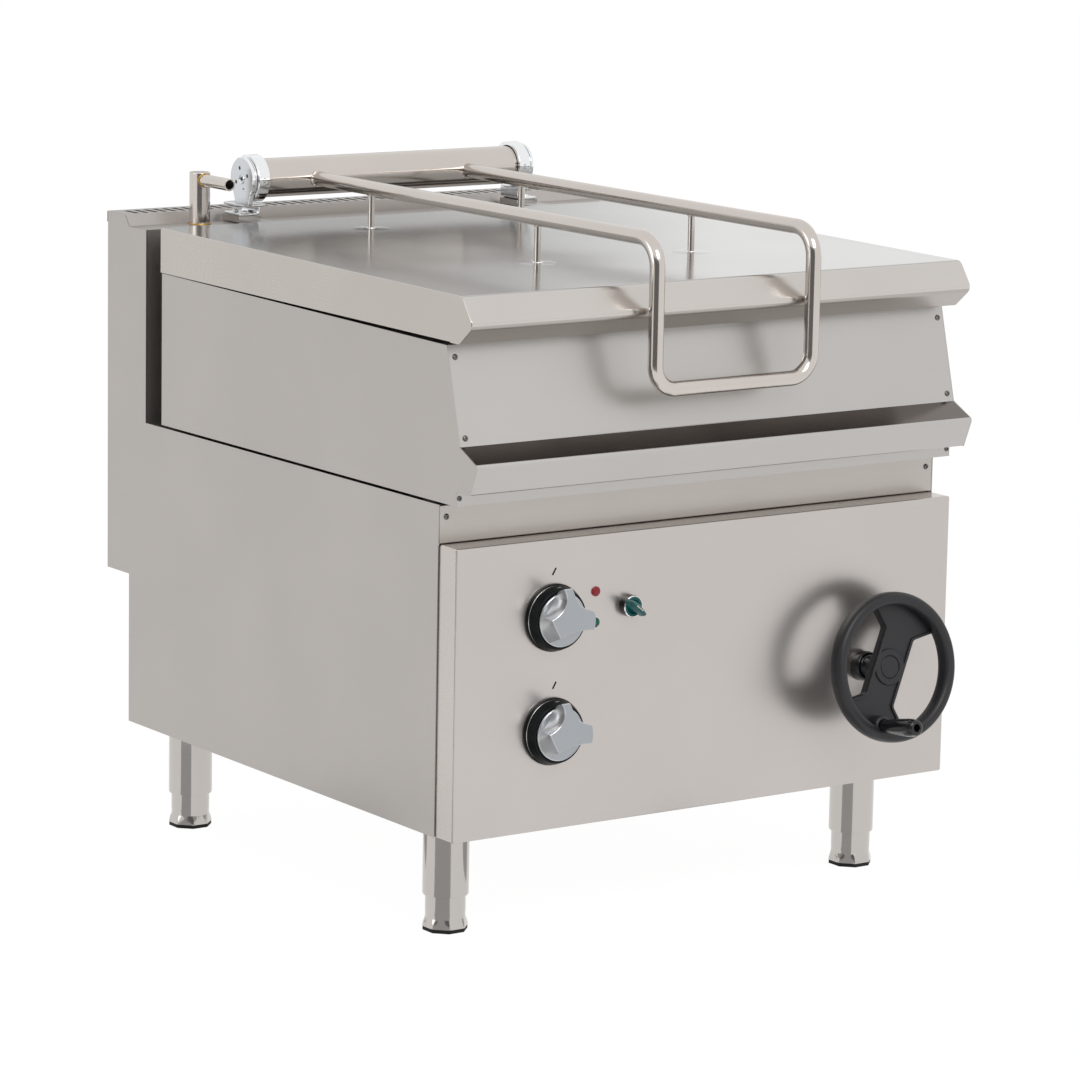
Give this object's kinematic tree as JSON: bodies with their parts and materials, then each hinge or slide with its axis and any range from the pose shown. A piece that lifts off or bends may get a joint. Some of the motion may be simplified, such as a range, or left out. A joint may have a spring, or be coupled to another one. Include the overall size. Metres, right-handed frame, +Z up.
{
  "type": "tilting bratt pan",
  "caption": "Free-standing tilting bratt pan: stainless cabinet on feet, tilting tank with sprung lid and tube handle, knobs, handwheel, and water spout on a rear flue.",
  "frame": {"origin": "on the floor, in the middle of the overall width and depth", "axes": "+X towards the handwheel's side as seen from the front, +Y towards the back, +Z up"},
  "size_m": [0.8, 1.0496, 0.937],
  "materials": {
    "side_steel": "brushed, warm grey",
    "front_steel": "brushed, warm light grey",
    "inner_steel": "satin",
    "lid_steel": "polished on top",
    "tube_steel": "satin tube",
    "foot_steel": "satin",
    "frame_steel": "mill finish",
    "bright_chrome": "polished",
    "machined_steel": "machined",
    "cast_boxes": "painted casting",
    "copper_pipe": "bare",
    "valve_brass": "bare",
    "black_plastic": "satin black",
    "silver_caps": "satin",
    "grey_plastic": "satin",
    "red_lens": "clear red",
    "green_lens": "clear green",
    "teal_plastic": "clear green",
    "black_rubber": "matt"
  },
  "bodies": {
    "cabinet": {"side_panel_left": "side_steel", "side_panel_right": "side_steel", "base_plate": "inner_steel", "cabinet_frame": "frame_steel", "deck_plate": "inner_steel", "front_rail": "front_steel", "front_panel": "front_steel", "rear_panel": "side_steel", "flue_housing": "side_steel", "flue_cap": "side_steel", "water_spout": "tube_steel", "fill_pipe": "copper_pipe", "solenoid_valve": "valve_brass", "cable_gland": "black_plastic", "terminal_box": "grey_plastic", "worm_box": "cast_boxes", "bevel_box": "cast_boxes", "pivot_bearings": "cast_boxes", "wheel_bushing": "black_plastic", "leg_sleeves": "tube_steel", "red_lamp": "red_lens", "green_lamp": "green_lens", "selector_switch": "bright_chrome", "thermostats": "bright_chrome", "cabinet_screws": "bright_chrome", "rest_pads": "black_rubber"},
    "handwheel_body": {"handwheel": "black_plastic", "wheel_shaft": "machined_steel", "hub_cap": "black_plastic", "crank_pin": "bright_chrome"},
    "grip_body": {"crank_grip": "black_plastic"},
    "drive_body": {"drive_shaft": "machined_steel"},
    "pinion_body": {"pinion_shaft": "machined_steel"},
    "upper_knob": {"knob_skirt_upper": "black_plastic", "knob_cap_upper": "silver_caps"},
    "lower_knob": {"knob_skirt_lower": "black_plastic", "knob_cap_lower": "silver_caps"},
    "selector_body": {"selector_handle": "teal_plastic"},
    "foot_fl": {"foot_front_left": "foot_steel"},
    "foot_fr": {"foot_front_right": "foot_steel"},
    "foot_rl": {"foot_rear_left": "foot_steel"},
    "foot_rr": {"foot_rear_right": "foot_steel"},
    "pan": {"pan_sides": "side_steel", "pan_front_panel": "front_steel", "pan_rear_panel": "side_steel", "pan_bottom_cover": "inner_steel", "tank": "inner_steel", "heating_elements": "machined_steel", "pivot_lugs": "machined_steel", "tilt_quadrant": "machined_steel", "hinge_supports": "inner_steel", "hinge_brackets": "bright_chrome", "pan_screws": "bright_chrome", "lid_buffers": "black_rubber"},
    "lid": {"lid_shell": "lid_steel", "lid_liner": "inner_steel", "lid_handle": "tube_steel", "hinge_tube": "tube_steel", "tube_collars": "bright_chrome", "torsion_spring": "machined_steel"}
  },
  "joints": [
    {"name": "pan_tilt", "type": "hinge", "parent": "cabinet", "child": "pan", "pos_m": [0, -0.34616, 0.606], "axis": [1, 0, 0], "range_deg": [0, 70]},
    {"name": "lid_hinge", "type": "hinge", "parent": "pan", "child": "lid", "pos_m": [0, 0.40184, 0.904], "axis": [-1, 0, 0], "range_deg": [0, 85]},
    {"name": "pinion_turn", "type": "hinge", "parent": "cabinet", "child": "pinion_body", "pos_m": [0.256, -0.06454, 0.53578], "axis": [1, 0, 0], "range_deg": [-950, 5]},
    {"name": "drive_turn", "type": "hinge", "parent": "cabinet", "child": "drive_body", "pos_m": [0.256, -0.14674, 0.26993], "axis": [0, 0.1564, 0.9877], "range_deg": [-20, 3800]},
    {"name": "handwheel_turn", "type": "hinge", "parent": "cabinet", "child": "handwheel_body", "pos_m": [0.256, -0.36816, 0.305], "axis": [0, -0.9877, 0.1564], "range_deg": [-3800, 20]},
    {"name": "crank_spin", "type": "hinge", "parent": "handwheel_body", "child": "grip_body", "pos_m": [0.22584, -0.44502, 0.2416], "axis": [0, -0.9877, 0.1564], "continuous": true},
    {"name": "upper_knob_turn", "type": "hinge", "parent": "cabinet", "child": "upper_knob", "pos_m": [-0.249, -0.36966, 0.422], "axis": [0, 1, 0], "range_deg": [0, 300]},
    {"name": "lower_knob_turn", "type": "hinge", "parent": "cabinet", "child": "lower_knob", "pos_m": [-0.249, -0.36966, 0.274], "axis": [0, 1, 0], "range_deg": [0, 300]},
    {"name": "selector_turn", "type": "hinge", "parent": "cabinet", "child": "selector_body", "pos_m": [-0.132, -0.36816, 0.4265], "axis": [0, -1, 0], "range_deg": [0, 90]},
    {"name": "foot_fl_height", "type": "slide", "parent": "cabinet", "child": "foot_fl", "axis": [0, 0, -1], "range_m": [-0.02, 0.03]},
    {"name": "foot_fr_height", "type": "slide", "parent": "cabinet", "child": "foot_fr", "axis": [0, 0, -1], "range_m": [-0.02, 0.03]},
    {"name": "foot_rl_height", "type": "slide", "parent": "cabinet", "child": "foot_rl", "axis": [0, 0, -1], "range_m": [-0.02, 0.03]},
    {"name": "foot_rr_height", "type": "slide", "parent": "cabinet", "child": "foot_rr", "axis": [0, 0, -1], "range_m": [-0.02, 0.03]}
  ],
  "couplings": [
    {"joint": "pinion_turn", "follows": "pan_tilt", "ratio": -13.5},
    {"joint": "drive_turn", "follows": "pan_tilt", "ratio": 54},
    {"joint": "handwheel_turn", "follows": "pan_tilt", "ratio": -54}
  ]
}
